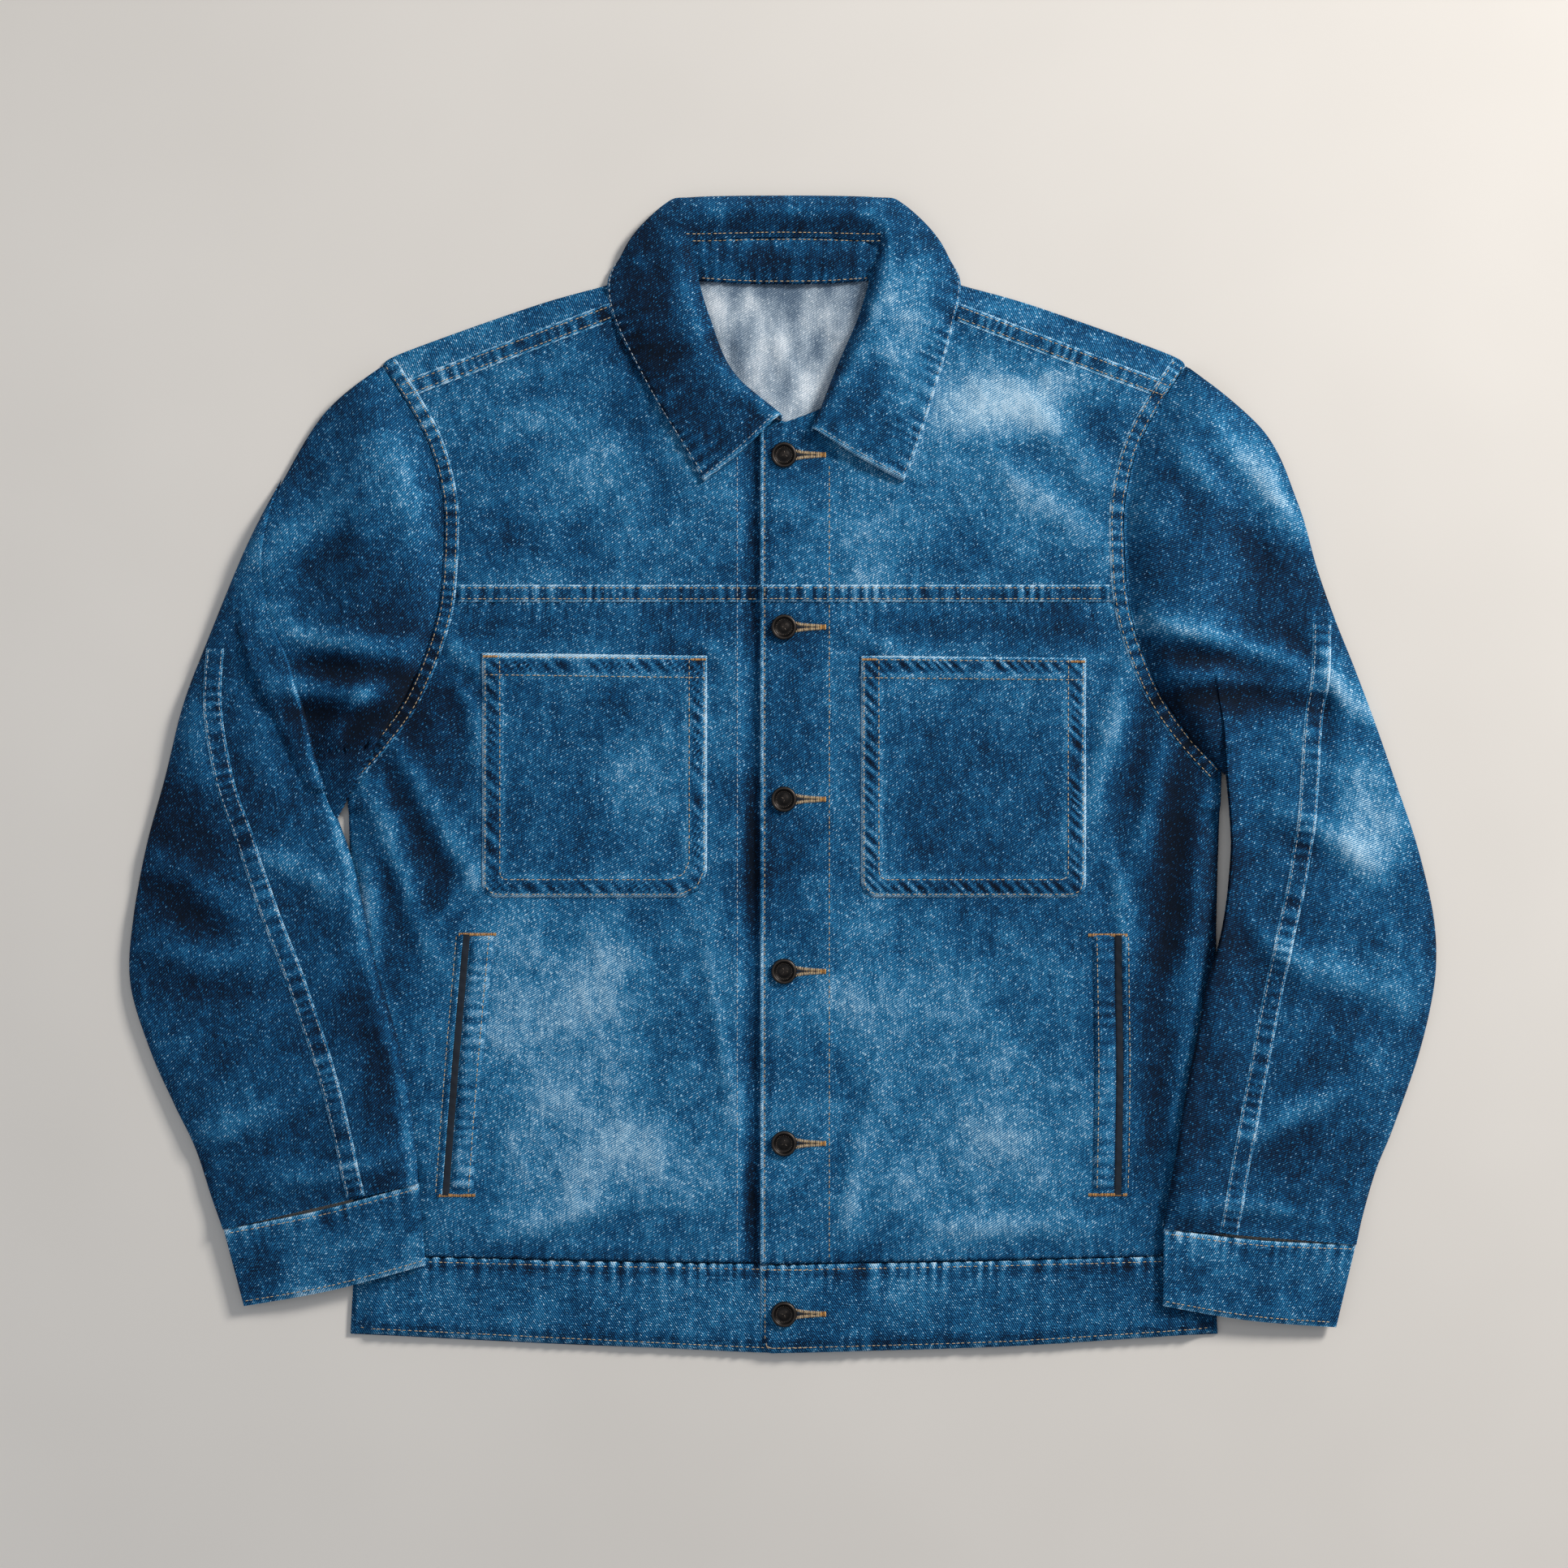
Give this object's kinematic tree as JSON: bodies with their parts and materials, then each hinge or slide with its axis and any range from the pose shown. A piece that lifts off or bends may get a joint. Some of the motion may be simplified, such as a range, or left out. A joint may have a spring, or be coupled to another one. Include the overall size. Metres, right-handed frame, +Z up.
{
  "type": "denim jacket",
  "caption": "Denim jacket laid face up and buttoned, with a point collar, patch chest pockets, welt hand pockets, sleeves that swing out and tack buttons that turn.",
  "frame": {"origin": "on the floor under the middle of the jacket's outline, with the jacket laid on its back", "axes": "+X to the wearer's left, +Y to the collar, +Z up out of the chest"},
  "size_m": [0.8693, 0.768, 0.018],
  "materials": {
    "denim_front": "washed indigo denim, diagonal twill",
    "denim_back": "paler reverse of washed indigo denim",
    "denim_collar": "washed indigo denim, worn at the edges",
    "denim_sleeve": "washed indigo denim, faded along the arm",
    "pocketing": "plain cotton pocketing",
    "bartack_thread": "dense orange stitching",
    "button_metal": "dark antique plating, worn bright on the rim",
    "shank_brass": "plain",
    "insert_plastic": "natural",
    "nail_aluminium": "plain"
  },
  "bodies": {
    "jacket": {"back_panel": "denim_back", "back_yoke": "denim_back", "bartacks": "bartack_thread", "button_inserts": "insert_plastic", "button_nails": "nail_aluminium", "button_shanks": "shank_brass", "collar_stand": "denim_collar", "left_chest_pocket": "denim_front", "left_front_facing": "denim_front", "left_front_panel": "denim_front", "left_front_yoke": "denim_front", "left_hand_pocket_bag": "pocketing", "left_hand_pocket_welt": "denim_front", "left_sleeve_head": "denim_sleeve", "right_chest_pocket": "denim_front", "right_front_facing": "denim_front", "right_front_panel": "denim_front", "right_front_yoke": "denim_front", "right_hand_pocket_bag": "pocketing", "right_hand_pocket_welt": "denim_front", "right_sleeve_head": "denim_sleeve", "top_collar": "denim_collar", "under_collar": "denim_collar", "waistband_back": "denim_back", "waistband_left_front": "denim_front", "waistband_right_front": "denim_front"},
    "left_forearm": {"left_top_sleeve": "denim_sleeve", "left_under_sleeve": "denim_sleeve", "left_cuff": "denim_sleeve"},
    "right_forearm": {"right_top_sleeve": "denim_sleeve", "right_under_sleeve": "denim_sleeve", "right_cuff": "denim_sleeve"},
    "button_1": {"button_cap_1": "button_metal", "button_back_plate_1": "button_metal"},
    "button_2": {"button_cap_2": "button_metal", "button_back_plate_2": "button_metal"},
    "button_3": {"button_cap_3": "button_metal", "button_back_plate_3": "button_metal"},
    "button_4": {"button_cap_4": "button_metal", "button_back_plate_4": "button_metal"},
    "button_5": {"button_cap_5": "button_metal", "button_back_plate_5": "button_metal"},
    "button_6": {"button_cap_6": "button_metal", "button_back_plate_6": "button_metal"}
  },
  "joints": [
    {"name": "left_sleeve_swing", "type": "hinge", "parent": "jacket", "child": "left_forearm", "pos_m": [0.342, 0.04, 0.0135], "axis": [0, 0, 1], "range_deg": [0, 30]},
    {"name": "right_sleeve_swing", "type": "hinge", "parent": "jacket", "child": "right_forearm", "pos_m": [-0.342, 0.04, 0.0135], "axis": [0, 0, -1], "range_deg": [0, 30]},
    {"name": "button_1_turn", "type": "hinge", "parent": "jacket", "child": "button_1", "pos_m": [0, 0.212, 0.0089], "axis": [0, 0, 1], "continuous": true},
    {"name": "button_2_turn", "type": "hinge", "parent": "jacket", "child": "button_2", "pos_m": [0, 0.098, 0.0089], "axis": [0, 0, 1], "continuous": true},
    {"name": "button_3_turn", "type": "hinge", "parent": "jacket", "child": "button_3", "pos_m": [0, -0.016, 0.0089], "axis": [0, 0, 1], "continuous": true},
    {"name": "button_4_turn", "type": "hinge", "parent": "jacket", "child": "button_4", "pos_m": [0, -0.13, 0.0089], "axis": [0, 0, 1], "continuous": true},
    {"name": "button_5_turn", "type": "hinge", "parent": "jacket", "child": "button_5", "pos_m": [0, -0.244, 0.0089], "axis": [0, 0, 1], "continuous": true},
    {"name": "button_6_turn", "type": "hinge", "parent": "jacket", "child": "button_6", "pos_m": [0, -0.357, 0.0089], "axis": [0, 0, 1], "continuous": true}
  ]
}
